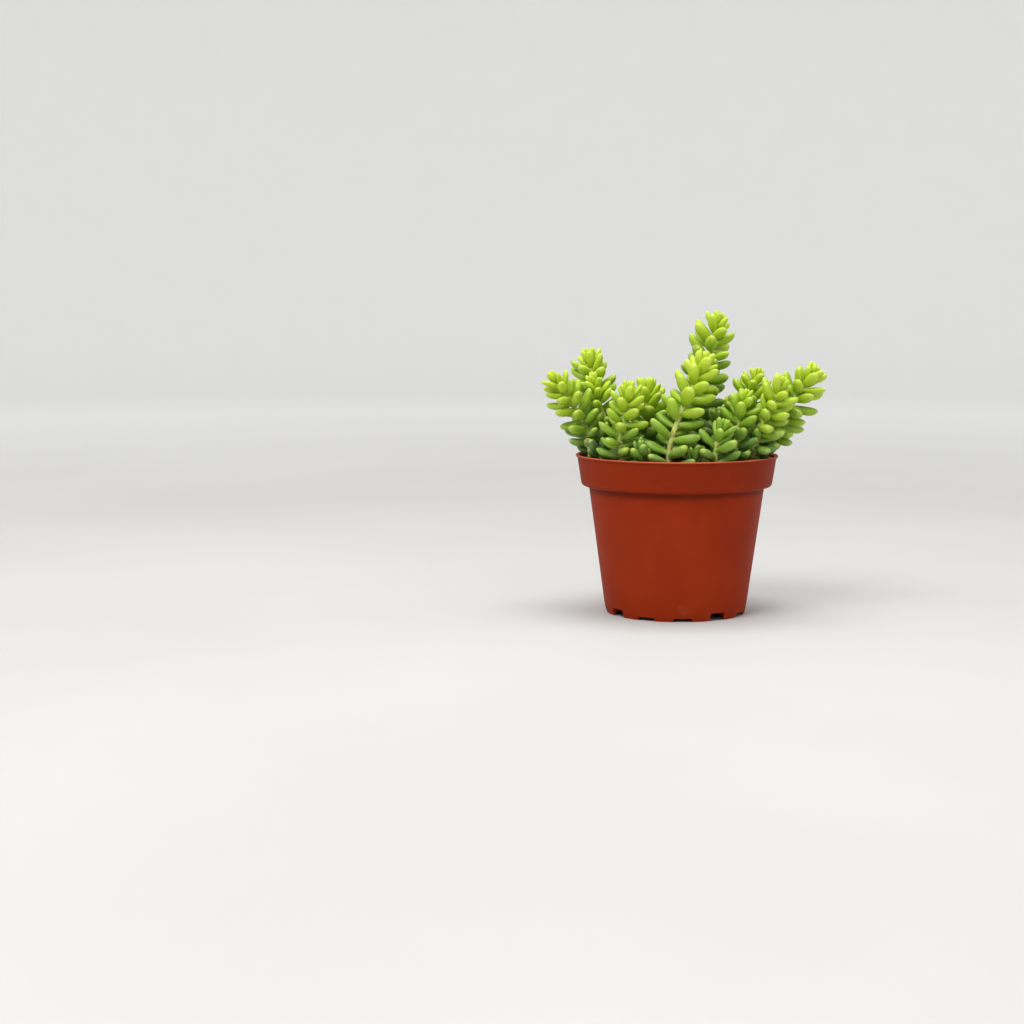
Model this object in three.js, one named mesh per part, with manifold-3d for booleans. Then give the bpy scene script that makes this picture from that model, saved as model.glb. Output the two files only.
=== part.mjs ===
// A potted sedum: a stepped plastic nursery pot, the potting soil in it, and the leafy shoots rooted there.
// Millimetres, +Z up, and -Y is the front. It is built round the pot's axis, and moved at the end so that
// the origin is the middle of the whole outline, at the height that the pot stands on.
import * as THREE from "three";
import { mergeVertices } from "three/addons/utils/BufferGeometryUtils.js";
import Module from "manifold-3d";

const wasm = await Module();
wasm.setup();

// ---- Driving dimensions ----

const POT_HEIGHT = 78.7;
const RIM_RADIUS = 50; // outermost lip
const COLLAR_FOOT_RADIUS = 47.2; // the collar's lower edge
const COLLAR_FOOT_Z = 64.4;
const BODY_TOP_RADIUS = 43.3; // under the collar
const BODY_TOP_Z = 62.2;
const HEEL_RADIUS = 35.5; // where the body turns in to its foot
const HEEL_Z = 5.2;
const FOOT_RADIUS = 34.5;
const WALL = 1.2;
const FLOOR_UNDERSIDE_Z = 2;
const POT_SIDES = 48;

const NOTCH_COUNT = 12; // drainage notches round the foot
const NOTCH_WIDTH = 9.3;
const NOTCH_PHASE = 6.3; // degrees from the front, anticlockwise from above
const LOW_NOTCH_HEIGHT = 1.7; // vents the space under the floor
const TALL_NOTCH_HEIGHT = 3.8; // every third notch also opens the floor's edge
const FLOOR_HOLES = 6;
const FLOOR_HOLE_RADIUS = 2.6;
const FLOOR_HOLE_CIRCLE = 17;

const GAP = 0.3; // clearance between touching pieces
const SOIL_TOP_Z = POT_HEIGHT - 8;
const SOIL_SIDES = 24;

const STALK_RADIUS = 1.35;
const ROOTED_DEPTH = 8; // length of stalk in the soil
const BUD_RADIUS = 2.3;
const BUD_LENGTH = 7;

const LEAF_LENGTH = 12.6; // an old leaf, low on the shoot
const YOUNG_LEAF = 0.7; // length of the youngest leaf, as a share of an old one
const LEAF_WIDTH = 0.46; // share of the leaf's length
const LEAF_THICKNESS = 0.82; // share of its width
const LEAVES_PER_MM = 0.38; // along a shoot, with a few more to end it
const GOLDEN_ANGLE = 137.508;
const LEAF_CLEARANCE = 0.35; // between leaves of different shoots

// A leaf's plump outline as balls along it: [share of its length, radius as a share of its width].
const LEAF_BALLS = [
  [0.22, 0.3],
  [0.4, 0.46],
  [0.58, 0.5],
  [0.76, 0.44],
  [0.91, 0.28],
];

// The shoots, front ones first: where each is rooted, the points its stalk passes, where its bud is, its
// leaves' size beside the others', and how widely they are spaced.
const SHOOTS = [
  {
    name: "centre_front",
    foot: [-4, -37],
    via: [[-3, -36, 86], [1, -33, 99], [7, -28, 112]],
    bud: [13, -22, 126],
    size: 1.15,
    spacing: 1.2,
  },
  { name: "left_front", foot: [-26, -28], via: [[-27, -31, 88], [-25, -31, 99]], bud: [-23, -30, 112] },
  { name: "right_front", foot: [18, -35], via: [[19, -37, 86]], bud: [22, -37, 94], size: 1.2, spacing: 1.3 },
  { name: "right_inner_front", foot: [28, -24], via: [[29, -25, 90]], bud: [32, -24, 108] },
  { name: "right_spreading", foot: [35, -15], via: [[40, -23, 92], [45, -26, 103]], bud: [49, -26, 115] },
  { name: "left_middle", foot: [-14, -12], via: [[-15, -11, 92]], bud: [-14, -9, 112], size: 1.15 },
  { name: "far_left", foot: [-36, -9], via: [[-42, -10, 87], [-50, -13, 102]], bud: [-60, -16, 116] },
  { name: "far_right", foot: [36, 0], via: [[44, -5, 88], [54, -8, 102]], bud: [65, -10, 119], size: 1.1 },
  { name: "tall_centre", foot: [6, -6], via: [[8, 1, 96], [13, 6, 118]], bud: [18, 9, 143], size: 1.15 },
  { name: "left_tall", foot: [-32, 6], via: [[-37, 5, 93], [-41, 6, 111]], bud: [-44, 8, 126], size: 1.05 },
  { name: "left_short", foot: [-26, -9], via: [[-33, -5, 90], [-38, -5, 103]], bud: [-41, -5, 115] },
  { name: "right_tall", foot: [28, 6], via: [[33, 3, 91]], bud: [38, 4, 117], size: 1.05 },
  { name: "right_offset", foot: [36, -11], via: [[39, -13, 77]], bud: [43, -15, 82], size: 0.95 },
  { name: "left_offset", foot: [-34, -18], via: [[-36, -20, 76]], bud: [-40, -20, 81], size: 0.95 },
  { name: "front_left_offset", foot: [-14, -34], via: [[-15, -36, 77]], bud: [-16, -37, 83], size: 0.95 },
  { name: "front_right_offset", foot: [7, -35], via: [[8, -37, 76]], bud: [9, -38, 81], size: 0.9 },
  { name: "centre_right", foot: [18, -15], via: [[19, -16, 84]], bud: [20, -17, 97], size: 1.1 },
  { name: "middle", foot: [2, 10], via: [[1, 12, 84]], bud: [-2, 14, 98] },
  { name: "back_left_inner", foot: [-14, 27], via: [[-15, 29, 83]], bud: [-17, 31, 98] },
  { name: "back_right_inner", foot: [9, 33], via: [[10, 35, 83]], bud: [12, 38, 97] },
  { name: "back_left", foot: [-24, 26], via: [[-27, 29, 84]], bud: [-31, 33, 100] },
  { name: "back_centre", foot: [-3, 35], via: [[-4, 38, 84]], bud: [-5, 43, 101] },
  { name: "back_right", foot: [20, 30], via: [[23, 33, 85]], bud: [28, 37, 102] },
  { name: "back_far_right", foot: [35, 17], via: [[38, 20, 84]], bud: [44, 25, 99] },
  { name: "back_inner", foot: [16, 17], via: [[17, 19, 82]], bud: [19, 22, 95] },
  { name: "back_far_left", foot: [-37, 13], via: [[-41, 17, 83]], bud: [-47, 22, 97] },
  { name: "left_inner", foot: [-16, 12], via: [[-17, 13, 82]], bud: [-19, 15, 95] },
];

const materials = {
  pot: new THREE.MeshStandardMaterial({ color: 0x9c3218, roughness: 0.5, metalness: 0 }),
  soil: new THREE.MeshStandardMaterial({ color: 0x2b1d14, roughness: 0.95, metalness: 0 }),
  shoot: new THREE.MeshStandardMaterial({ color: 0x86b02c, roughness: 0.45, metalness: 0 }),
};

// ---- Small helpers ----

const { degToRad, lerp } = THREE.MathUtils;
const point = (...xyz) => new THREE.Vector3(...xyz);

// A repeatable number from -1 to 1 for a piece's own small variation.
function wobble(seed, channel) {
  const wave = Math.sin(seed * 12.9898 + channel * 78.233) * 43758.5453;
  return 2 * (wave - Math.floor(wave)) - 1;
}

// A geometry's closed surface as a solid, without the faces that collapse at a pole.
function toSolid(geometry, matrix = new THREE.Matrix4()) {
  const bare = new THREE.BufferGeometry();
  const source = geometry.index ? geometry.toNonIndexed() : geometry;
  bare.setAttribute("position", source.getAttribute("position").clone());
  bare.applyMatrix4(matrix);
  const merged = mergeVertices(bare, 1e-4);
  const corners = [...merged.index.array];
  const faces = [];
  for (let i = 0; i < corners.length; i += 3) {
    const [a, b, c] = corners.slice(i, i + 3);
    if (a !== b && b !== c && c !== a) faces.push(a, b, c);
  }
  const vertProperties = new Float32Array(merged.attributes.position.array);
  return new wasm.Manifold(new wasm.Mesh({ numProp: 3, vertProperties, triVerts: new Uint32Array(faces) }));
}

function toMesh(name, solid, material) {
  const made = solid.getMesh();
  const geometry = new THREE.BufferGeometry();
  geometry.setAttribute("position", new THREE.BufferAttribute(made.vertProperties, 3));
  geometry.setIndex(new THREE.BufferAttribute(made.triVerts, 1));
  geometry.computeVertexNormals();
  const mesh = new THREE.Mesh(geometry, material);
  mesh.name = name;
  return mesh;
}

// Turns a profile of [radius, height] points about +Z.
function turned(profile, sides) {
  const outline = profile.map(([radius, height]) => new THREE.Vector2(radius, height));
  return new THREE.LatheGeometry(outline, sides).rotateX(Math.PI / 2);
}

// ---- Pot ----

const FLOOR_TOP_Z = FLOOR_UNDERSIDE_Z + WALL;
const bodyRadius = (z) => lerp(HEEL_RADIUS, BODY_TOP_RADIUS, (z - HEEL_Z) / (BODY_TOP_Z - HEEL_Z));
const COLLAR_TOP_RADIUS = RIM_RADIUS - 0.6; // under the lip
const upCollar = (z) => (z - COLLAR_FOOT_Z) / (POT_HEIGHT - COLLAR_FOOT_Z);
const collarRadius = (z) => lerp(COLLAR_FOOT_RADIUS, COLLAR_TOP_RADIUS, upCollar(z));
// The cavity's radius at a height: the wall follows the outside, step and all.
const cavityRadius = (z) => (z > COLLAR_FOOT_Z + WALL ? collarRadius(z) : bodyRadius(z)) - WALL;

function potProfile() {
  return [
    [0, FLOOR_UNDERSIDE_Z],
    [FOOT_RADIUS - WALL, FLOOR_UNDERSIDE_Z],
    [FOOT_RADIUS - WALL, 0],
    [FOOT_RADIUS, 0],
    [HEEL_RADIUS, HEEL_Z],
    [BODY_TOP_RADIUS, BODY_TOP_Z],
    [BODY_TOP_RADIUS + 0.5, BODY_TOP_Z + 0.6],
    [COLLAR_FOOT_RADIUS - 0.7, COLLAR_FOOT_Z - 0.9],
    [COLLAR_FOOT_RADIUS, COLLAR_FOOT_Z],
    [collarRadius(POT_HEIGHT - 1.3), POT_HEIGHT - 1.3],
    [RIM_RADIUS, POT_HEIGHT - 1],
    [RIM_RADIUS, POT_HEIGHT - 0.3],
    [RIM_RADIUS - 0.3, POT_HEIGHT],
    [RIM_RADIUS - 1.5, POT_HEIGHT],
    [cavityRadius(POT_HEIGHT - 1), POT_HEIGHT - 1],
    [cavityRadius(COLLAR_FOOT_Z + 1.3), COLLAR_FOOT_Z + 1.3],
    [BODY_TOP_RADIUS - WALL, BODY_TOP_Z + 1.6],
    [HEEL_RADIUS - WALL, HEEL_Z],
    [FOOT_RADIUS - WALL, FLOOR_TOP_Z],
    [0, FLOOR_TOP_Z],
  ];
}

// A block that cuts one notch through the foot, and through the floor's edge where it is tall.
function notchCutter(index) {
  const tall = index % 3 === 1;
  const height = tall ? TALL_NOTCH_HEIGHT : LOW_NOTCH_HEIGHT;
  const inner = FOOT_RADIUS - (tall ? 8 : 2.5);
  const outer = FOOT_RADIUS + 3;
  const block = new THREE.BoxGeometry(NOTCH_WIDTH, outer - inner, height + 1);
  block.translate(0, -(inner + outer) / 2, (height - 1) / 2);
  block.rotateZ(degToRad(NOTCH_PHASE + (index * 360) / NOTCH_COUNT));
  return toSolid(block);
}

function floorHoleCutter(index) {
  const angle = (index * 2 * Math.PI) / FLOOR_HOLES;
  const hole = new THREE.CylinderGeometry(FLOOR_HOLE_RADIUS, FLOOR_HOLE_RADIUS, 4 * WALL, 10);
  hole.rotateX(Math.PI / 2);
  hole.translate(FLOOR_HOLE_CIRCLE * Math.cos(angle), FLOOR_HOLE_CIRCLE * Math.sin(angle), FLOOR_TOP_Z);
  return toSolid(hole);
}

function makePot() {
  let pot = toSolid(turned(potProfile(), POT_SIDES));
  for (let i = 0; i < NOTCH_COUNT; i++) pot = pot.subtract(notchCutter(i));
  for (let i = 0; i < FLOOR_HOLES; i++) pot = pot.subtract(floorHoleCutter(i));
  return pot;
}

// ---- Stalks ----

class Stalk {
  constructor(shoot, seed) {
    const [x, y] = shoot.foot;
    const [x1, y1] = shoot.via[0];
    const rooted = point(x - (x1 - x) * 0.1, y - (y1 - y) * 0.1, SOIL_TOP_Z - ROOTED_DEPTH);
    const passes = shoot.via.map((v) => point(...v));
    const corners = [rooted, point(x, y, SOIL_TOP_Z), ...passes, point(...shoot.bud)];
    this.curve = new THREE.CatmullRomCurve3(corners);
    this.length = this.curve.getLength();
    this.size = shoot.size ?? 1;
    this.spacing = shoot.spacing ?? 1;
    this.seed = seed;
    this.turn = wobble(seed, 1) * 180;
  }

  at(distance) {
    return this.curve.getPointAt(Math.min(1, distance / this.length));
  }

  // The stalk's direction and two directions across it.
  frameAt(distance) {
    const along = this.curve.getTangentAt(Math.min(1, distance / this.length));
    const across = point(0, 1, 0).cross(along).normalize();
    return { along, across, other: along.clone().cross(across) };
  }

  // The stalk as a six-sided rod, with its foot made longer by a given amount.
  solid(radius, longer = 0) {
    const steps = Math.max(3, Math.round(this.length / 8));
    const points = Array.from({ length: steps + 1 }, (_, i) => this.at((this.length * i) / steps));
    points[0].addScaledVector(this.frameAt(0).along, -longer);
    const section = new THREE.Shape();
    for (let i = 0; i < 6; i++) {
      const [u, v] = [radius * Math.cos((i * Math.PI) / 3), radius * Math.sin((i * Math.PI) / 3)];
      if (i) section.lineTo(u, v);
      else section.moveTo(u, v);
    }
    const path = new THREE.CatmullRomCurve3(points);
    return toSolid(new THREE.ExtrudeGeometry(section, { extrudePath: path, steps, bevelEnabled: false }));
  }
}

// ---- Leaves ----

// A leaf as a five-sided double cone of unit length along +Y and unit width, flattened along Z.
const leafOutline = [[0, 0], [0.54, 0.56], [0, 1]];
const leafShape = new THREE.LatheGeometry(leafOutline.map(([radius, y]) => new THREE.Vector2(radius, y)), 5);

class Leaf {
  constructor(stalk, base, direction, up, length) {
    Object.assign(this, { stalk, base, direction, length });
    this.width = LEAF_WIDTH * length;
    const side = direction.clone().cross(up).normalize();
    const face = side.clone().cross(direction);
    this.matrix = new THREE.Matrix4().makeBasis(
      side.multiplyScalar(this.width),
      direction.clone().multiplyScalar(length),
      face.multiplyScalar(this.width * LEAF_THICKNESS),
    );
    this.matrix.setPosition(base);
    this.balls = LEAF_BALLS.map(([share, radius]) => ({
      at: base.clone().addScaledVector(direction, share * length),
      radius: radius * this.width,
      outer: share > 0.5,
    }));
  }

  // True if it keeps clear of another leaf. Leaves of one shoot may press together near the stalk.
  clears(other) {
    if (this.base.distanceTo(other.base) > this.length + other.length + 1) return true;
    const sameShoot = this.stalk === other.stalk;
    return this.balls.every((a) =>
      other.balls.every((b) => {
        if (sameShoot && !(a.outer && b.outer)) return true;
        const reach = sameShoot ? 0.86 * (a.radius + b.radius) : a.radius + b.radius + LEAF_CLEARANCE;
        return a.at.distanceTo(b.at) > reach;
      }),
    );
  }

  clearsStalk(stalk, beads) {
    if (stalk === this.stalk) return true;
    const reach = STALK_RADIUS + LEAF_CLEARANCE;
    return this.balls.every(({ at, radius }) => beads.every((bead) => at.distanceTo(bead) > radius + reach));
  }

  // True if it keeps above the soil and off the pot's wall and lip.
  clearsPot() {
    return this.balls.every(({ at, radius }) => {
      const spread = Math.hypot(at.x, at.y);
      const fromLip = Math.hypot(Math.max(0, at.z - POT_HEIGHT), spread - RIM_RADIUS + 0.8);
      const inPot = spread < RIM_RADIUS && at.z < POT_HEIGHT;
      const throughWall = inPot && spread + radius + GAP > cavityRadius(at.z);
      return at.z - radius > SOIL_TOP_Z + 1.3 && fromLip > radius + 1.2 && !throughWall;
    });
  }
}

// Small changes of tilt and turn, in degrees, and of length, that a leaf tries until it has room.
const LEAF_TRIES = [1, 0.88, 0.74].flatMap((scale) =>
  [0, -10, 9, -20, -30].flatMap((tilt) => [0, 12, -12, 24, -24].map((turn) => ({ scale, tilt, turn }))),
);

function growLeaves(stalk, grown, stalks) {
  const clearFoot = ROOTED_DEPTH + 3.2;
  const leafy = stalk.length - clearFoot - 1;
  const count = Math.round(4 + (leafy * LEAVES_PER_MM) / stalk.spacing);
  for (let i = 0; i < count; i++) {
    const age = 1 - i / (count - 1); // 1 is the oldest and lowest leaf
    const place = clearFoot + leafy * (1 - age ** 1.35);
    const { along, across, other } = stalk.frameAt(place);
    const grownShare = lerp(YOUNG_LEAF, 1, age ** 0.8);
    const length = LEAF_LENGTH * stalk.size * grownShare * (1 + 0.07 * wobble(stalk.seed, 10 + i));
    const tilt = lerp(34, 80, age ** 0.6) + 5 * wobble(stalk.seed, 40 + i);
    const turn = stalk.turn + i * GOLDEN_ANGLE;
    for (const attempt of LEAF_TRIES) {
      const [lean, spin] = [degToRad(tilt + attempt.tilt), degToRad(turn + attempt.turn)];
      const outward = across.clone().multiplyScalar(Math.cos(spin)).addScaledVector(other, Math.sin(spin));
      const direction = along.clone().multiplyScalar(Math.cos(lean)).addScaledVector(outward, Math.sin(lean));
      const leaf = new Leaf(stalk, stalk.at(place), direction.normalize(), along, length * attempt.scale);
      const clearOfStalks = leaf.clearsPot() && stalks.every((s) => leaf.clearsStalk(s, s.beads));
      if (clearOfStalks && grown.every((g) => leaf.clears(g))) {
        grown.push(leaf);
        break;
      }
    }
  }
}

// ---- Shoots: a stalk, its leaves and the closed bud at its end, grown as one piece ----

const budShape = turned([[0, 0], [1, 0.42], [0, 1]], 6);

function budSolid(stalk) {
  const { along, across, other } = stalk.frameAt(stalk.length);
  const radius = BUD_RADIUS * stalk.size;
  const length = BUD_LENGTH * stalk.size;
  const matrix = new THREE.Matrix4().makeBasis(
    across.multiplyScalar(radius),
    other.multiplyScalar(radius),
    along.clone().multiplyScalar(length),
  );
  matrix.setPosition(stalk.at(stalk.length).addScaledVector(along, -0.3 * length));
  return toSolid(budShape, matrix);
}

function makeShoot(stalk, leaves) {
  const grown = leaves.map((leaf) => toSolid(leafShape, leaf.matrix));
  return grown.reduce((shoot, leaf) => shoot.add(leaf), stalk.solid(STALK_RADIUS).add(budSolid(stalk)));
}

// ---- Soil ----

// The soil fills the cavity and mounds up a little towards the middle, with a hole for each rooted stalk.
function makeSoil(stalks) {
  const wall = (z) => [cavityRadius(z) - GAP, z];
  const bottom = FLOOR_TOP_Z + GAP;
  const profile = [
    [0, bottom],
    [FOOT_RADIUS - WALL - GAP, bottom],
    [HEEL_RADIUS - WALL - GAP, HEEL_Z],
    [BODY_TOP_RADIUS - WALL - GAP, BODY_TOP_Z + 1.6],
    [COLLAR_FOOT_RADIUS - WALL - GAP, COLLAR_FOOT_Z + 1.8],
    wall(SOIL_TOP_Z - 0.8),
    [38, SOIL_TOP_Z - 0.2],
    [27, SOIL_TOP_Z + 0.2],
    [14, SOIL_TOP_Z + 0.4],
    [0, SOIL_TOP_Z + 0.5],
  ];
  const filling = turned(profile, SOIL_SIDES);
  const positions = filling.getAttribute("position");
  for (let i = 0; i < positions.count; i++) {
    const [x, y, z] = [positions.getX(i), positions.getY(i), positions.getZ(i)];
    if (z < SOIL_TOP_Z - 0.3) continue;
    const mound = 0.35 * Math.sin(0.41 * x + 1.3) * Math.cos(0.37 * y);
    positions.setZ(i, z + mound + 0.25 * Math.sin(0.9 * (x + y)));
  }
  const rootHole = (stalk) => stalk.solid(STALK_RADIUS + GAP, GAP);
  return stalks.reduce((soil, stalk) => soil.subtract(rootHole(stalk)), toSolid(filling));
}

// ---- The potted plant ----

const stalks = SHOOTS.map((shoot, i) => new Stalk(shoot, i + 1));
for (const stalk of stalks) {
  const beadCount = Math.ceil(stalk.length / 1.5);
  stalk.beads = Array.from({ length: beadCount + 1 }, (_, i) => stalk.at((stalk.length * i) / beadCount));
}
const leaves = [];
for (const stalk of stalks) growLeaves(stalk, leaves, stalks);

const pottedSedum = new THREE.Group();
pottedSedum.add(toMesh("pot", makePot(), materials.pot));
pottedSedum.add(toMesh("potting_soil", makeSoil(stalks), materials.soil));
stalks.forEach((stalk, i) => {
  const own = leaves.filter((leaf) => leaf.stalk === stalk);
  pottedSedum.add(toMesh("shoot_" + SHOOTS[i].name, makeShoot(stalk, own), materials.shoot));
});

const outline = new THREE.Box3().setFromObject(pottedSedum);
const middle = outline.getCenter(point());
pottedSedum.position.set(-middle.x, -middle.y, -outline.min.z);

export default pottedSedum;
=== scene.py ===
"""A potted sedum: a stepped plastic nursery pot, its potting soil, and the leafy shoots rooted in it."""

import math
from contextlib import contextmanager
from itertools import product

import bmesh
import bpy
import numpy as np
from mathutils import Matrix, Vector
from mathutils.geometry import interpolate_bezier


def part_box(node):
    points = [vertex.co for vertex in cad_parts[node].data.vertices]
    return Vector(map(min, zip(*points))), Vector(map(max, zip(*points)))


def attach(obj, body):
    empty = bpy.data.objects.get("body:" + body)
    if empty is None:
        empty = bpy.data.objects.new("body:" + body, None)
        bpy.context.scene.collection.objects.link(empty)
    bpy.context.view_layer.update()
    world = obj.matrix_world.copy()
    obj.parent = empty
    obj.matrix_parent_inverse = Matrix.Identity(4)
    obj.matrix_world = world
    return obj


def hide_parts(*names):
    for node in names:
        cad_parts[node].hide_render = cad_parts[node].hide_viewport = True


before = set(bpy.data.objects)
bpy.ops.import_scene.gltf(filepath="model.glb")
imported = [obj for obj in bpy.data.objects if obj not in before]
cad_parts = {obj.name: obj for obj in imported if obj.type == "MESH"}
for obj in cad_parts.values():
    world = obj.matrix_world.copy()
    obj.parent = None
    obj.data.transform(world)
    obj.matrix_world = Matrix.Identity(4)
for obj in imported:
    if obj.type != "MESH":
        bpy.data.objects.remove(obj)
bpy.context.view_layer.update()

# ---- Sizes, in metres; the pot's axis, rim radius and height come from the CAD pot's box ----

MM = 0.001
pot_low, pot_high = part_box("pot")
AXIS = Vector(((pot_low.x + pot_high.x) / 2, (pot_low.y + pot_high.y) / 2, 0))
RIM_RADIUS = (pot_high.x - pot_low.x) / 2
POT_HEIGHT = pot_high.z
WALL = 1.2 * MM
COLLAR_TOP = (RIM_RADIUS - 0.6 * MM, POT_HEIGHT)  # (radius, height), under the lip
COLLAR_FOOT = (47.2 * MM, 64.4 * MM)
BODY_TOP = (43.3 * MM, 62.2 * MM)
HEEL = (35.5 * MM, 5.2 * MM)  # where the body turns in to its foot
FOOT_RADIUS = 34.5 * MM
FLOOR_UNDERSIDE = 2 * MM
FLOOR_TOP = FLOOR_UNDERSIDE + WALL
POT_SIDES = 128
RING_PITCH = 1.15 * MM  # of the fine rings left on the collar by the mould
NOTCH_COUNT = 12
NOTCH_PHASE = 6.3  # degrees from the front, anticlockwise from above
LOW_NOTCH = (9.4 * MM, 1.7 * MM, 2.5 * MM)  # (width, height, depth)
TALL_NOTCH = (8.9 * MM, 3.8 * MM, 8 * MM)
FLOOR_HOLES = 6
FLOOR_HOLE_RADIUS = 2.6 * MM
FLOOR_HOLE_CIRCLE = 17 * MM
SOIL_TOP = POT_HEIGHT - 8 * MM
SOIL_SIDES = 144
SOIL_RINGS = 34
MOUND = 0.8 * MM  # how far the soil's top falls from its middle to the wall
CRUMB_COUNT = 620
GAP = 0.3 * MM
STALK_RADIUS = 1.35 * MM
ROOTED_DEPTH = 8 * MM
LEAF_LENGTH = 12 * MM  # an old leaf on a shoot of size 1
LEAF_WIDTH = 0.5  # share of its length
LEAF_THICKNESS = 0.8  # share of its width
GOLDEN_ANGLE = math.radians(137.508)

# The shoots, front ones first, in millimetres from the pot's axis: where each is rooted, the points that
# its stalk passes, where its tip is, and what sets it apart. That can be its leaves' size and spacing, the
# heights between which it has lost its front leaves, and its shade: painted shade that darkens its leaves
# where it sits in shadow among the other shoots, or lightens them when below zero.
SHOOTS = [
    ("centre_front", (-4, -37), [(-3, -36, 86), (1, -33, 99), (7, -28, 112)], (13, -22, 126),
     {"size": 1.08, "bare": (82, 102), "spacing": 1.2, "shade": -0.1}),
    ("left_front", (-26, -28), [(-27, -31, 88), (-25, -31, 99)], (-23, -30, 112), {"size": 1.02}),
    ("right_front", (18, -35), [(19, -37, 86)], (22, -37, 94),
     {"size": 1.15, "spacing": 2.0, "shade": 0.08}),
    ("right_inner_front", (28, -24), [(29, -25, 90)], (32, -24, 108), {"size": 1.02, "shade": 0.1}),
    ("right_spreading", (35, -15), [(40, -23, 92), (45, -26, 103)], (49, -26, 115), {"size": 1.05}),
    ("left_middle", (-14, -12), [(-15, -11, 92)], (-14, -9, 112), {"size": 1.15}),
    ("far_left", (-36, -9), [(-42, -10, 87), (-50, -13, 102)], (-60, -16, 116), {"size": 1.05}),
    ("far_right", (36, 0), [(44, -5, 88), (54, -8, 102)], (65, -10, 119), {"size": 1.15}),
    ("tall_centre", (6, -6), [(8, 1, 96), (13, 6, 118)], (19, 9, 144), {"size": 1.18, "spacing": 1.15}),
    ("left_tall", (-32, 6), [(-37, 5, 93), (-41, 6, 111)], (-44, 8, 126), {"size": 1.1}),
    ("left_short", (-26, -9), [(-33, -5, 90), (-38, -5, 103)], (-41, -5, 115), {}),
    ("right_tall", (28, 6), [(33, 3, 91)], (38, 4, 117), {"size": 1.08}),
    ("right_offset", (36, -11), [(39, -13, 77)], (43, -15, 82),
     {"size": 1.35, "spacing": 1.8, "shade": 0.6}),
    ("left_offset", (-34, -18), [(-36, -20, 76)], (-40, -20, 81),
     {"size": 1.35, "spacing": 1.8, "shade": 0.6}),
    ("front_left_offset", (-14, -34), [(-15, -36, 77)], (-16, -37, 83),
     {"size": 1.3, "spacing": 1.8, "shade": 0.12}),
    ("front_right_offset", (7, -35), [(8, -37, 76)], (9, -38, 81),
     {"size": 1.2, "spacing": 1.8, "shade": 0.1}),
    ("centre_right", (18, -15), [(19, -16, 84)], (20, -17, 98),
     {"size": 1.2, "spacing": 1.3, "shade": 0.2}),
    ("middle", (2, 10), [(1, 12, 84)], (-2, 14, 98), {}),
    ("back_left_inner", (-14, 27), [(-15, 29, 83)], (-17, 31, 98), {}),
    ("back_right_inner", (9, 33), [(10, 35, 83)], (12, 38, 97), {}),
    ("back_left", (-24, 26), [(-27, 29, 84)], (-31, 33, 100), {}),
    ("back_centre", (-3, 35), [(-4, 38, 84)], (-5, 43, 101), {}),
    ("back_right", (20, 30), [(23, 33, 85)], (28, 37, 102), {}),
    ("back_far_right", (35, 17), [(38, 20, 84)], (44, 25, 99), {}),
    ("back_inner", (16, 17), [(17, 19, 82)], (19, 22, 95), {}),
    ("back_far_left", (-37, 13), [(-41, 17, 83)], (-47, 22, 97), {}),
    ("left_inner", (-16, 12), [(-17, 13, 82)], (-19, 15, 95), {}),
]


# ---- Shader maths ----


class Amount:
    """A shader value. Python's operators on it add their Math nodes."""

    def __init__(self, finish, socket):
        self.finish, self.socket = finish, socket

    def math(self, operation, *values):
        return self.finish.node("ShaderNodeMath", {"operation": operation}, dict(enumerate(values)))

    def __add__(self, other):
        return self.math("ADD", self, other)

    def __sub__(self, other):
        return self.math("SUBTRACT", self, other)

    def __rsub__(self, other):
        return self.math("SUBTRACT", other, self)

    def __mul__(self, other):
        return self.math("MULTIPLY", self, other)

    __radd__, __rmul__ = __add__, __mul__


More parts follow.
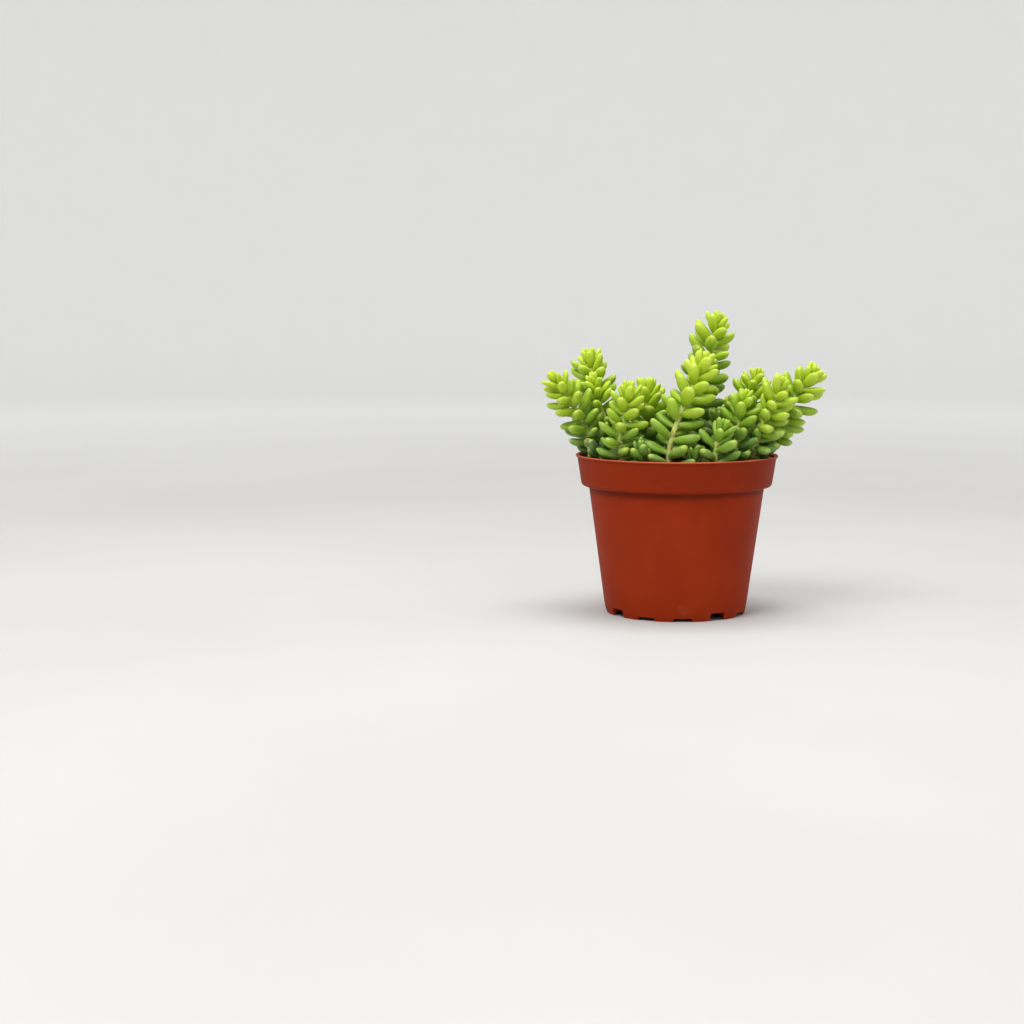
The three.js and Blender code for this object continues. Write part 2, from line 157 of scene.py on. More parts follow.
class Finish:
    """A material in the making: its nodes, and the shader that they feed."""

    def __init__(self, name, **constants):
        self.material = bpy.data.materials.new(name)
        self.material.use_nodes = True
        self.tree = self.material.node_tree
        self.shader = self.tree.nodes["Principled BSDF"]
        for socket, value in constants.items():
            self.shader.inputs[socket.replace("_", " ")].default_value = value
        self.place = self.node("ShaderNodeTexCoord", output="Object")

    def node(self, kind, settings=None, inputs=None, output=0):
        """Adds a node of a kind, sets it up, and gives its sockets their values or links."""
        made = self.tree.nodes.new(kind)
        for key, value in (settings or {}).items():
            if key == "stops":
                self.set_stops(made.color_ramp, value)
            else:
                setattr(made, key, value)
        for key, value in (inputs or {}).items():
            self.feed(made.inputs[key], value)
        return Amount(self, made.outputs[output])

    def feed(self, socket, value):
        if isinstance(value, Amount):
            self.tree.links.new(value.socket, socket)
        else:
            socket.default_value = value

    @staticmethod
    def set_stops(ramp, stops):
        while len(ramp.elements) < len(stops):
            ramp.elements.new(1)
        for element, (position, colour) in zip(ramp.elements, stops):
            element.position, element.color = position, colour

    def set(self, **values):
        """Feeds the shader's own sockets and hands over the finished material."""
        for socket, value in values.items():
            self.feed(self.shader.inputs[socket.replace("_", " ")], value)
        return self.material

    def noise(self, scale, detail=3, rough=0.5, stretch=None):
        where = self.place
        if stretch:
            where = self.node("ShaderNodeMapping", {}, {"Vector": where, "Scale": stretch})
        inputs = {"Vector": where, "Scale": scale, "Detail": detail, "Roughness": rough}
        return self.node("ShaderNodeTexNoise", {}, inputs)

    def cells(self, scale):
        return self.node("ShaderNodeTexVoronoi", {}, {"Vector": self.place, "Scale": scale})

    def band(self, value, low, high):
        """Goes smoothly from 0 to 1 as value goes from low to high."""
        inputs = {"Value": value, "From Min": low, "From Max": high}
        return self.node("ShaderNodeMapRange", {"interpolation_type": "SMOOTHSTEP"}, inputs)

    def along(self, axis):
        """How far along X, Y or Z a point is, in metres."""
        return self.node("ShaderNodeSeparateXYZ", {}, {0: self.place}, output=axis)

    def trait(self, name):
        """A number stored at each vertex by set_trait."""
        return self.node("ShaderNodeAttribute", {"attribute_name": name}, output="Fac")

    def mix(self, amount, under, over):
        """One colour laid over another, by an amount from 0 to 1."""
        return self.node("ShaderNodeMix", {"data_type": "RGBA"}, {0: amount, 6: under, 7: over}, output=2)

    def bump(self, height, strength, depth):
        return self.node("ShaderNodeBump", {}, {"Height": height, "Strength": strength, "Distance": depth})


def paint(red, green, blue):
    """A colour as a paint chart gives it, 0 to 255, in the shader's linear light."""
    return (*(((c / 255 + 0.055) / 1.055) ** 2.4 for c in (red, green, blue)), 1)


# ---- Bench tools ----


def only(piece):
    """Makes one piece the selected and active one."""
    bpy.ops.object.select_all(action="DESELECT")
    piece.select_set(True)
    bpy.context.view_layer.objects.active = piece


@contextmanager
def editing(piece):
    """Keeps one piece in edit mode while the lines inside run."""
    only(piece)
    bpy.ops.object.mode_set(mode="EDIT")
    bpy.ops.mesh.select_mode(type="VERT")
    yield
    bpy.ops.object.mode_set(mode="OBJECT")


def pick(test):
    """Selects the vertices, of the mesh being edited, whose place passes a test."""
    mesh = bpy.context.edit_object.data
    shape = bmesh.from_edit_mesh(mesh)
    for vertex in shape.verts:
        vertex.select_set(test(vertex.co))
    shape.select_flush_mode()
    bmesh.update_edit_mesh(mesh)


def settle(piece, name):
    """Puts a piece's place into its mesh and names it."""
    only(piece)
    bpy.ops.object.transform_apply(location=True, rotation=True, scale=True)
    piece.name = piece.data.name = name
    return piece


def modify(piece, kind, **settings):
    """Adds a modifier with its settings and applies it."""
    only(piece)
    modifier = piece.modifiers.new(kind.lower(), kind)
    for key, value in settings.items():
        setattr(modifier, key, value)
    bpy.ops.object.modifier_apply(modifier=modifier.name)


def draw_along(outline, sides, centre=AXIS):
    """Draws a circle along an outline of (radius, height) by extruding its edge."""
    (radius, height), *rest = outline
    bpy.ops.object.select_all(action="DESELECT")
    where = centre + Vector((0, 0, height))
    bpy.ops.mesh.primitive_circle_add(vertices=sides, radius=radius, fill_type="NOTHING", location=where)
    piece = settle(bpy.context.object, "turned")
    with editing(piece):
        bpy.ops.mesh.select_all(action="SELECT")
        for next_radius, next_height in rest:
            bpy.ops.mesh.extrude_region_move(
                TRANSFORM_OT_translate={"value": (0, 0, next_height - height)}
            )
            share = next_radius / radius
            bpy.ops.transform.resize(value=(share, share, 1), center_override=centre)
            radius, height = next_radius, next_height
    return piece


def close_ends(piece):
    with editing(piece):
        bpy.ops.mesh.select_all(action="DESELECT")
        bpy.ops.mesh.select_non_manifold()
        bpy.ops.mesh.fill_holes(sides=0)
        bpy.ops.mesh.select_all(action="SELECT")
        bpy.ops.mesh.normals_make_consistent(inside=False)


def smooth(piece, angle):
    only(piece)
    bpy.ops.object.shade_smooth_by_angle(angle=math.radians(angle))


def join(pieces, name):
    bpy.ops.object.select_all(action="DESELECT")
    for piece in pieces:
        piece.select_set(True)
    bpy.context.view_layer.objects.active = pieces[0]
    bpy.ops.object.join()
    joined = bpy.context.object
    joined.name = joined.data.name = name
    return joined


def copy_of(piece, matrix):
    """A copy with a mesh of its own, placed by a matrix."""
    mesh = piece.data.copy()
    mesh.transform(matrix)
    made = bpy.data.objects.new(piece.name, mesh)
    bpy.context.scene.collection.objects.link(made)
    return made


def set_trait(mesh, name, values):
    """Stores a number at each vertex, for the material to read."""
    trait = mesh.attributes.get(name) or mesh.attributes.new(name, "FLOAT", "POINT")
    at_each = np.broadcast_to(np.asarray(values, np.float32), len(mesh.vertices))
    trait.data.foreach_set("value", at_each.copy())


def finished(piece, node, finish):
    """The last thing done to each piece: its material, its CAD node and its body."""
    piece.data.materials.clear()
    piece.data.materials.append(finish)
    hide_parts(node)
    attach(piece, "root")


# ---- Pot ----


def on_line(start, end, height):
    """The radius at a height on the straight line between two (radius, height) points."""
    share = (height - start[1]) / (end[1] - start[1])
    return start[0] + share * (end[0] - start[0])


def cavity_radius(height):
    """The radius of the pot's inside at a height above its floor."""
    if height > COLLAR_FOOT[1] + WALL:
        return on_line(COLLAR_FOOT, COLLAR_TOP, height) - WALL
    return on_line(HEEL, BODY_TOP, height) - WALL


def pot_outline():
    """From the underside of the floor, up the outside, over the lip and down the inside to the floor."""
    body_r, body_z = BODY_TOP
    collar_r, collar_z = COLLAR_FOOT
    return [
        (FOOT_RADIUS - WALL, FLOOR_UNDERSIDE),
        (FOOT_RADIUS - WALL, 0),
        (FOOT_RADIUS, 0),
        HEEL,
        BODY_TOP,
        (body_r + 0.5 * MM, body_z + 0.6 * MM),
        (collar_r - 0.7 * MM, collar_z - 0.9 * MM),
        COLLAR_FOOT,
        (on_line(COLLAR_FOOT, COLLAR_TOP, POT_HEIGHT - 1.3 * MM), POT_HEIGHT - 1.3 * MM),
        (RIM_RADIUS, POT_HEIGHT - 1 * MM),
        (RIM_RADIUS, POT_HEIGHT),
        (RIM_RADIUS - 1.5 * MM, POT_HEIGHT),
        (cavity_radius(POT_HEIGHT - 1 * MM), POT_HEIGHT - 1 * MM),
        (cavity_radius(collar_z + 1.3 * MM), collar_z + 1.3 * MM),
        (body_r - WALL, body_z + 1.6 * MM),
        (HEEL[0] - WALL, HEEL[1]),
        (FOOT_RADIUS - WALL, FLOOR_TOP),
    ]


def pot_cutters():
    """Blocks for the notches round the foot, and pegs for the holes in the floor. Every third notch is taller
    and goes through the floor's edge."""
    cutters = []
    spare = 2 * MM  # a block starts this far below the pot's foot
    for i in range(NOTCH_COUNT):
        width, height, depth = TALL_NOTCH if i % 3 == 1 else LOW_NOTCH
        inner, outer = FOOT_RADIUS - depth, FOOT_RADIUS + 3 * MM
        bpy.ops.mesh.primitive_cube_add(size=1, location=(0, -(inner + outer) / 2, (height - spare) / 2))
        block = bpy.context.object
        block.scale = (width, outer - inner, height + spare)
        settle(block, "notch")
        with editing(block):
            pick(lambda place: place.z > 0)
            bpy.ops.transform.resize(value=(0.93, 1, 1), center_override=(0, 0, 0))
        angle = math.radians(NOTCH_PHASE + i * 360 / NOTCH_COUNT)
        block.data.transform(Matrix.Translation(AXIS) @ Matrix.Rotation(angle, 4, "Z"))
        cutters.append(block)
    for i in range(FLOOR_HOLES):
        angle = math.radians(i * 360 / FLOOR_HOLES)
        x, y = FLOOR_HOLE_CIRCLE * math.cos(angle), FLOOR_HOLE_CIRCLE * math.sin(angle)
        where = AXIS + Vector((x, y, FLOOR_TOP))
        radius, depth = FLOOR_HOLE_RADIUS, 4 * WALL
        bpy.ops.mesh.primitive_cylinder_add(vertices=24, radius=radius, depth=depth, location=where)
        cutters.append(settle(bpy.context.object, "drain"))
    return join(cutters, "pot_cutters")


def make_pot():
    pot = draw_along(pot_outline(), POT_SIDES)
    close_ends(pot)
    modify(pot, "BEVEL", width=0.35 * MM, segments=3, limit_method="ANGLE", angle_limit=math.radians(20))
    cutters = pot_cutters()
    modify(pot, "BOOLEAN", operation="DIFFERENCE", solver="EXACT", object=cutters)
    bpy.data.objects.remove(cutters)
    smooth(pot, 30)
    pot.name = pot.data.name = "nursery_pot"
    return pot


def pot_plastic():
    """Terracotta-coloured moulded plastic: faintly mottled and pitted, and scuffed. It holds painted shade on
    the collar, a painted shadow in the step under the collar, and a lip top that is paler, partly from wear
    and partly as a painted highlight.
    """
    finish = Finish("terracotta_plastic", Specular_IOR_Level=0.05)
    height = finish.along("Z")
    clouds = finish.noise(38, 4)
    streaks = finish.noise(130, 3, stretch=(1, 1, 0.12))
    grain = finish.noise(2600, 2)
    freckles = finish.band(finish.noise(700, 3, 0.7), 0.6, 0.78)
    colour = finish.mix(finish.band(clouds, 0.35, 0.68), paint(140, 42, 13), paint(147, 46, 15))
    colour = finish.mix(finish.band(streaks, 0.52, 0.75) * 0.22, colour, paint(124, 35, 11))
    # Painted shade: the collar is darkened, as if shaded by the leaves hanging over it.
    collar = finish.band(height, BODY_TOP[1] - 3 * MM, BODY_TOP[1])
    colour = finish.mix(collar * 0.35, colour, paint(117, 35, 12))
    # Painted shadow: a dark band in the step just under the collar.
    under_collar_shadow = collar * finish.band(height, BODY_TOP[1] + 1.2 * MM, BODY_TOP[1] + 0.4 * MM)
    colour = finish.mix(under_collar_shadow * 0.6, colour, paint(82, 25, 9))
    colour = finish.mix(freckles * 0.25, colour, paint(164, 62, 30))
    # The lip's top is paler: partly wear, partly a painted highlight.
    lip = finish.band(height, POT_HEIGHT - 0.7 * MM, POT_HEIGHT - 0.1 * MM)
    colour = finish.mix(lip * 0.7, colour, paint(204, 104, 74))
    scratch = finish.band(finish.noise(420, 2, stretch=(1, 1, 0.16)), 0.725, 0.755)
    scratch = scratch * finish.band(finish.noise(60, 1), 0.52, 0.6)
    colour = finish.mix(scratch * 0.35, colour, paint(190, 96, 66))
    dust = finish.band(finish.noise(90, 5, 0.7), 0.56, 0.75) * finish.band(height, 14 * MM, 1 * MM)
    colour = finish.mix(dust * 0.25, colour, paint(150, 110, 84))
    wave = finish.node("ShaderNodeMath", {"operation": "SINE"}, {0: height * (2 * math.pi / RING_PITCH)})
    rings = wave * finish.band(height, 65 * MM, 66 * MM) * finish.band(height, 70.5 * MM, 68.5 * MM)
    relief = finish.bump(grain * 0.3 + clouds * 0.6 + rings * 0.4 + scratch * 0.4, 0.35, 0.12 * MM)
    rough = 0.48 + 0.1 * finish.band(clouds, 0.3, 0.7) + 0.12 * scratch + 0.2 * dust
    return finish.set(Base_Color=colour, Roughness=rough, Normal=relief)


# ---- Soil ----


def soil_outline():
    """From the middle of the mounded top, out to the wall, and down the inside of the pot."""
    middle, edge = 0.4 * MM, cavity_radius(SOIL_TOP) - GAP
    top = []
    for i in range(SOIL_RINGS + 1):
        fall = MOUND * (i / SOIL_RINGS) ** 3
        top.append((middle + (edge - middle) * i / SOIL_RINGS, SOIL_TOP - fall))
    return top + [
        (COLLAR_FOOT[0] - WALL - GAP, COLLAR_FOOT[1] + 1.8 * MM),
        (BODY_TOP[0] - WALL - GAP, BODY_TOP[1] + 1.6 * MM),
        (HEEL[0] - WALL - GAP, HEEL[1]),
        (FOOT_RADIUS - WALL - GAP, FLOOR_TOP + GAP),
    ]


def on_soil_top(place):
    from_axis = (place - AXIS).xy.length
    return place.z > SOIL_TOP - MOUND - 0.1 * MM and from_axis < cavity_radius(SOIL_TOP) - 2 * GAP


def make_soil():
    soil = draw_along(soil_outline(), SOIL_SIDES)
    close_ends(soil)
    with editing(soil):
        pick(on_soil_top)
    top = soil.vertex_groups.new(name="top")
    top.add([v.index for v in soil.data.vertices if v.select], 1, "REPLACE")
    upwards = {"vertex_group": "top", "texture_coords": "GLOBAL", "direction": "Z"}
    for size, strength in ((9, 1.5), (3.2, 1.3), (1.3, 0.7)):
        lumps = bpy.data.textures.new("lumps", "CLOUDS")
        lumps.noise_scale = size * MM
        modify(soil, "DISPLACE", texture=lumps, strength=strength * MM, **upwards)
    smooth(soil, 60)
    soil.name = soil.data.name = "soil_mix"
    return soil


def crumb_shapes():
    """Three crumbs to copy: a rounded one, a flat flake of bark and a rough bit of grit."""
    shapes = []
    for squash, dents in (((1, 0.9, 0.8), 0.35), ((1, 0.62, 0.3), 0.5), ((1, 0.95, 0.9), 0.7)):
        bpy.ops.object.select_all(action="DESELECT")
        bpy.ops.mesh.primitive_ico_sphere_add(subdivisions=2, radius=0.5, location=(0, 0, 0))
        crumb = bpy.context.object
        crumb.scale = squash
        settle(crumb, "crumb")
        pits = bpy.data.textures.new("pits", "CLOUDS")
        pits.noise_scale = 0.45
        modify(crumb, "DISPLACE", texture=pits, strength=dents, mid_level=0.5)
        shapes.append(crumb)
    return shapes


def scatter_crumbs():
    """Loose crumbs spread evenly over the soil, with a few pale bits of grit among them."""
    chance = np.random.default_rng(11)
    shapes = crumb_shapes()
    reach = cavity_radius(SOIL_TOP) - 1.6 * MM
    crumbs = []
    for _ in range(CRUMB_COUNT):
        radius = reach * math.sqrt(chance.uniform(0, 1))
        angle = chance.uniform(0, 2 * math.pi)
        place = AXIS + Vector((radius * math.cos(angle), radius * math.sin(angle), SOIL_TOP + 0.1 * MM))
        kind = chance.choice(3, p=(0.55, 0.35, 0.1))
        size = chance.uniform(0.8, 2.2) * MM * (1.5 if kind == 1 else 1)
        spin, lean = chance.uniform(0, 6.28), chance.uniform(-0.5, 0.5)
        turn = Matrix.Rotation(spin, 4, "Z") @ Matrix.Rotation(lean, 4, "X")
        crumb = copy_of(shapes[kind], Matrix.Translation(place) @ turn @ Matrix.Scale(size, 4))
        set_trait(crumb.data, "tone", chance.uniform(0, 0.8) if kind < 2 else 1)  # 1 is pale grit
        crumbs.append(crumb)
    for shape in shapes:
        bpy.data.objects.remove(shape)
    crumbs = join(crumbs, "soil_crumbs")
    smooth(crumbs, 50)
    return crumbs


def soil_finish(name, crumbs):
    finish = Finish(name, Specular_IOR_Level=0.2)
    clumps = finish.noise(450, 6, 0.7)
    specks = finish.cells(1500)
    colour = finish.mix(finish.band(clumps, 0.35, 0.7), paint(34, 24, 16), paint(78, 57, 40))
    colour = finish.mix(finish.band(specks, 0.12, 0.02) * 0.5, colour, paint(120, 96, 70))
    if crumbs:
        tone = finish.trait("tone")
        colour = finish.mix(finish.band(tone, 0.2, 0.8) * 0.5, colour, paint(104, 76, 50))
        colour = finish.mix(finish.band(tone, 0.85, 0.95), colour, paint(196, 188, 170))
    relief = finish.bump(clumps + specks * 0.5, 0.8, 0.4 * MM)
    return finish.set(Base_Color=colour, Roughness=0.8 + 0.15 * clumps, Normal=relief)


# ---- How the shoots grow ----


def settled(distance, over):
    """Goes from 0 at a shoot's tip towards 1 further down, and is most of the way there after `over`."""
    return 1 - math.exp(-distance / over)


def clamp(value):
    return min(1, max(0, value))


class Stalk:
    """A shoot's stalk as points along a smooth line, from its rooted foot to its tip."""

    def __init__(self, name, foot, via, tip, ways):
        self.name, self.bare, self.shade = name, ways.get("bare"), ways.get("shade", 0)
        self.size, self.spacing = ways.get("size", 1), ways.get("spacing", 1)
        (x, y), (x1, y1, _) = foot, via[0]
        soil = SOIL_TOP / MM
        rooted = (x - 0.1 * (x1 - x), y - 0.1 * (y1 - y), soil - ROOTED_DEPTH / MM)
        corners = [AXIS + Vector(p) * MM for p in (rooted, (x, y, soil), *via, tip)]
        self.line = self.through(corners)
        steps = np.linalg.norm(np.diff(self.line, axis=0), axis=1)
        self.reach = np.concatenate([[0], np.cumsum(steps)])  # how far along the stalk each point is
        self.length = self.reach[-1]
        self.beads = np.array([self.at(d) for d in np.arange(0, self.length, 1.5 * MM)])

    @staticmethod
    def through(corners):
        """A smooth line of points that passes every corner."""
        ends = [2 * corners[0] - corners[1], *corners, corners[-1]]
        points = []
        for before, a, b, after in zip(ends, ends[1:], ends[2:], ends[3:]):
            arm = (b - a).length / 3
            out, back = (b - before).normalized() * arm, (after - a).normalized() * arm
            points += interpolate_bezier(a, a + out, b - back, b, 14)[:-1]
        return np.array([*points, corners[-1]])

    def at(self, distance):
        """The point at a distance up the stalk from its root."""
        return np.array([np.interp(distance, self.reach, self.line[:, k]) for k in range(3)])

    def heading(self, distance):
        ahead = Vector(self.at(distance + 0.5 * MM) - self.at(distance - 0.5 * MM))
        return ahead.normalized()


class Growth:
    """Grows leaves down each stalk in a golden-angle spiral, each kept clear of what has already grown."""

    # Balls that fill a leaf: how far along it each one is, and its radius as a share of the leaf's width.
    BALLS = np.array([(0.22, 0.27), (0.4, 0.42), (0.58, 0.47), (0.76, 0.43), (0.91, 0.28)])
    # What a crowded leaf tries in turn: a share of its length, and degrees more of tilt and of turn.
    TRIES = tuple(product((1, 0.88, 0.76, 0.66), (0, -9, 8, -18, -28), (0, 12, -12, 24, -24)))

    def __init__(self, stalks):
        self.stalks = stalks
        self.chance = np.random.default_rng(5)
        self.centres, self.radii = np.zeros((0, 3)), np.zeros(0)
        self.owners, self.outer = np.zeros(0, int), np.zeros(0, bool)
        self.leaves = {stalk.name: [] for stalk in stalks}
        for number, stalk in enumerate(stalks):
            self.grow(number, stalk)

    def grow(self, number, stalk):
        """From the tip down, the leaves get longer, open out from upright, and stand further apart."""
        turn = self.chance.uniform(0, 2 * math.pi)
        from_tip = 0.2 * MM
        while stalk.length - from_tip > ROOTED_DEPTH + 2.6 * MM:
            near = from_tip / MM
            length = stalk.size * LEAF_LENGTH * (0.34 + 0.66 * settled(near, 5.5))
            length *= 1 + 0.1 * self.chance.uniform(-1, 1)
            tilt = 8 + 56 * settled(near, 5) + 12 * settled(near, 25)
            tilt += 8 * self.chance.uniform(-1, 1)
            self.place(number, stalk, stalk.length - from_tip, turn, tilt, length)
            turn += GOLDEN_ANGLE
            from_tip += (0.24 + 1.16 * stalk.spacing * settled(near, 9)) * MM

    def place(self, number, stalk, distance, turn, tilt, length):
        """Finds room for one leaf, and leaves it out if there is none or if the stalk is bare there."""
        base, heading = Vector(stalk.at(distance)), stalk.heading(distance)
        across = Vector((0, 1, 0)).cross(heading).normalized()
        other = heading.cross(across)
        in_rosette = distance > stalk.length - 8 * MM
        for share, lean, spin in self.TRIES:
            angle, slope = turn + math.radians(spin), math.radians(tilt + lean)
            outward = across * math.cos(angle) + other * math.sin(angle)
            if stalk.bare and outward.y < -0.82 and stalk.bare[0] < base.z / MM < stalk.bare[1]:
                return
            direction = heading * math.cos(slope) + outward * math.sin(slope)
            leaf = (base, direction, heading, length * share)
            if self.has_room(number, in_rosette, leaf):
                self.keep(number, stalk, distance, leaf)
                return

    def balls(self, leaf):
        """The centres and radii of the balls that fill a leaf."""
        base, direction, _, length = leaf
        centres = np.array(base) + np.outer(self.BALLS[:, 0] * length, direction)
        return centres, self.BALLS[:, 1] * LEAF_WIDTH * length

    def has_room(self, number, in_rosette, leaf):
        """Whether a leaf clears the pot, the soil, the other stalks and the other shoots' leaves. A shoot's
        own leaves may touch near their bases, and all along in its rosette, where they fold together."""
        centres, radii = self.balls(leaf)
        flat = centres - np.array(AXIS)
        spread = np.hypot(flat[:, 0], flat[:, 1])
        over_rim = np.hypot(np.maximum(0, flat[:, 2] - POT_HEIGHT), spread - RIM_RADIUS + 0.8 * MM)
        inside = (spread < RIM_RADIUS) & (flat[:, 2] < POT_HEIGHT)
        wall = np.array([cavity_radius(z) for z in flat[:, 2]])
        if (over_rim < radii + 1.1 * MM).any() or (inside & (spread + radii + GAP > wall)).any():
            return False
        if (flat[:, 2] - radii < SOIL_TOP + 0.8 * MM).any():
            return False
        for i, stalk in enumerate(self.stalks):
            if i != number:
                apart = np.linalg.norm(centres[:, None] - stalk.beads, axis=2)
                if (apart < radii[:, None] + STALK_RADIUS + GAP).any():
                    return False
        if not len(self.radii):
            return True
        apart = np.linalg.norm(centres[:, None] - self.centres, axis=2) - (radii[:, None] + self.radii)
        if (apart[:, self.owners != number] < 0.05 * MM).any():
            return False
        own = (self.owners == number) & self.outer
        return in_rosette or not (apart[2:, own] < -0.3 * radii[2:, None]).any()

    def keep(self, number, stalk, distance, leaf):
        """Adds a leaf. It is older, and so darker, the further it is from the tip. It is also painted darker
        the lower it hangs and the more shade its shoot has, as painted shade, and less so towards the front,
        as painted light. Leaves at the tip are slimmer."""
        centres, radii = self.balls(leaf)
        self.centres = np.concatenate([self.centres, centres])
        self.radii = np.concatenate([self.radii, radii])
        self.owners = np.concatenate([self.owners, np.full(len(radii), number)])
        self.outer = np.concatenate([self.outer, self.BALLS[:, 0] > 0.5])
        # Painted shade: a leaf is darker the lower it hangs, under the shoots above.
        low = (106 * MM - leaf[0].z) / (33 * MM)
        # Painted light: towards the front, less of that painted shade is kept.
        shade_kept = 1 - 0.3 * clamp((-leaf[0].y - 20 * MM) / (12 * MM))
        from_tip = (stalk.length - distance) / MM
        # Real ageing from the tip, plus the painted shade of the shoot and of low leaves.
        age = clamp(stalk.shade + max(low * shade_kept, from_tip / 75))
        fullness = 1 - 0.22 * math.exp(-from_tip / 5)
        self.leaves[stalk.name].append((*leaf, age, fullness))


# ---- Leaves and stalks ----


def model_leaf(curve, plumpness):
    """A leaf a unit long, along +Z from its base, with its upper face towards +Y. It is narrow at the base,
    fullest past its middle, flatter above than below, curved upwards, and blunt with a tiny point."""
    bpy.ops.object.select_all(action="DESELECT")
    rings = 8
    bpy.ops.mesh.primitive_uv_sphere_add(segments=10, ring_count=rings, radius=0.5, location=(0, 0, 0.5))
    leaf = settle(bpy.context.object, "leaf")
    with editing(leaf):
        pick(lambda place: place.y > 0.001)
        bpy.ops.transform.resize(value=(1, 0.72, 1), center_override=(0, 0, 0))
        for k in range(1, rings + 1):
            height = (1 - math.cos(math.pi * k / rings)) / 2
            fullness = plumpness * (0.74 + 0.42 * height + 0.22 * height**4)
            pick(lambda place: abs(place.z - height) < 0.004)
            bpy.ops.transform.resize(value=(fullness, fullness, 1), center_override=(0, 0, height))
            bpy.ops.transform.translate(value=(0, curve * (height**2 - 0.24 * height), 0))
        pick(lambda place: place.z > 0.999)
        bpy.ops.transform.translate(value=(0, 0.02, 0.02))
    set_trait(leaf.data, "along", [v.co.z for v in leaf.data.vertices])
    return leaf


def leaf_matrix(base, direction, up, length, fullness, roll):
    """Places the model leaf on its stalk, with its upper face turned up the stalk but for a little roll."""
    side = direction.cross(up).normalized()
    face = side.cross(direction)
    turned = Matrix.Rotation(roll, 3, direction)
    side, face = turned @ side, turned @ face
    width = fullness * LEAF_WIDTH * length
    columns = (side * width, face * width * LEAF_THICKNESS, direction * length)
    return Matrix.Translation(base) @ Matrix(columns).transposed().to_4x4()


def make_leaves(stalk, grown, shapes, chance):
    copies = []
    for base, direction, up, length, age, fullness in grown:
        roll = math.radians(16) * chance.uniform(-1, 1)
        shape = shapes[chance.integers(len(shapes))]
        made = copy_of(shape, leaf_matrix(base, direction, up, length, fullness, roll))
        set_trait(made.data, "age", age)
        set_trait(made.data, "tone", chance.uniform(0, 1))
        copies.append(made)
    leaves = join(copies, "leaves_" + stalk.name)
    with editing(leaves):
        bpy.ops.mesh.select_all(action="SELECT")
        bpy.ops.mesh.normals_make_consistent(inside=False)
    only(leaves)
    bpy.ops.object.shade_smooth()
    return leaves


def make_stalk(stalk):
    """The stalk, tapering a little to its tip, with faint, uneven swellings along it."""
    bpy.ops.object.select_all(action="DESELECT")
    bpy.ops.curve.primitive_bezier_curve_add()
    curve = bpy.context.object
    curve.data.splines.clear()
    spline = curve.data.splines.new("POLY")
    distances = np.arange(0, stalk.length, 0.9 * MM)
    spline.points.add(len(distances) - 1)
    for i, (point, distance) in enumerate(zip(spline.points, distances)):
        point.co = (*stalk.at(distance), 1)
        swelling = 0.07 * math.sin(i * 2.4) + 0.04 * math.sin(i * 5.1 + 1)
        point.radius = 1.12 - 0.28 * distance / stalk.length + swelling
    curve.data.bevel_depth = STALK_RADIUS
    curve.data.bevel_resolution = 3
    curve.data.dimensions = "3D"
    curve.data.use_fill_caps = True
    only(curve)
    bpy.ops.object.convert(target="MESH")
    made = settle(bpy.context.object, "stalk_" + stalk.name)
    places = np.array([v.co for v in made.data.vertices])
    nearest = np.linalg.norm(places[:, None] - stalk.beads, axis=2).argmin(axis=1)
    set_trait(made.data, "along", nearest / len(stalk.beads))
    only(made)
    bpy.ops.object.shade_smooth()
    return made


def leaf_skin():
    """Waxy leaf skin: yellow-lime when young, then fresh green, then a deep green with a pale bloom. The
    darker end of that ramp also carries the leaves' painted shade.
    """
    finish = Finish(
        "sedum_leaf",
        Subsurface_Weight=0.22,
        Subsurface_Radius=(0.55, 1.0, 0.12),
        Subsurface_Scale=2.2 * MM,
        Specular_IOR_Level=0.4,
    )
    age, tone, along = finish.trait("age"), finish.trait("tone"), finish.trait("along")
    mottle = finish.noise(330, 3)
    ripeness_and_shade = age + 0.14 * (tone - 0.5) + 0.12 * (mottle - 0.5)
    # The colour ramp follows age and painted shade together.
    colour = finish.node(
        "ShaderNodeValToRGB",
        {
            "stops": [
                (0.0, paint(190, 209, 54)),
                (0.16, paint(169, 196, 44)),
                (0.42, paint(130, 166, 40)),
                (0.72, paint(92, 132, 42)),
                (1.0, paint(56, 94, 38)),
            ]
        },
        {"Fac": ripeness_and_shade},
    )
    bloom = finish.band(finish.noise(120, 4, 0.6), 0.42, 0.7) * finish.band(age, 0.12, 0.6)
    colour = finish.mix(bloom * 0.24, colour, paint(184, 200, 124))
    base_end = finish.band(along, 0.28, 0.02)
    colour = finish.mix(base_end * 0.5, colour, paint(206, 214, 132))
    tip_end = finish.band(along, 0.9, 1.0)
    colour = finish.mix(tip_end * 0.45, colour, paint(206, 216, 96))
    pores = finish.band(finish.cells(1900), 0.3, 0.1)
    colour = finish.mix(pores * 0.16, colour, paint(206, 222, 130))
    patches = finish.band(finish.noise(560, 4, 0.65), 0.56, 0.72)
    colour = finish.mix(patches * 0.22, colour, paint(96, 138, 34))
    blemish = finish.band(finish.cells(210), 0.085, 0.05) * finish.band(tone, 0.45, 0.6)
    colour = finish.mix(blemish * 0.75, colour, paint(128, 92, 40))
    dried_tip = finish.band(along, 0.97, 0.998) * finish.band(tone, 0.93, 0.95)
    colour = finish.mix(dried_tip * 0.7, colour, paint(150, 104, 50))
    relief = finish.bump(mottle * 0.8 + patches * 0.2 - pores * 0.1 - blemish * 0.5, 0.4, 0.25 * MM)
    rough = 0.36 + 0.2 * bloom + 0.1 * mottle + 0.05 * pores
    return finish.set(Base_Color=colour, Roughness=rough, Normal=relief)


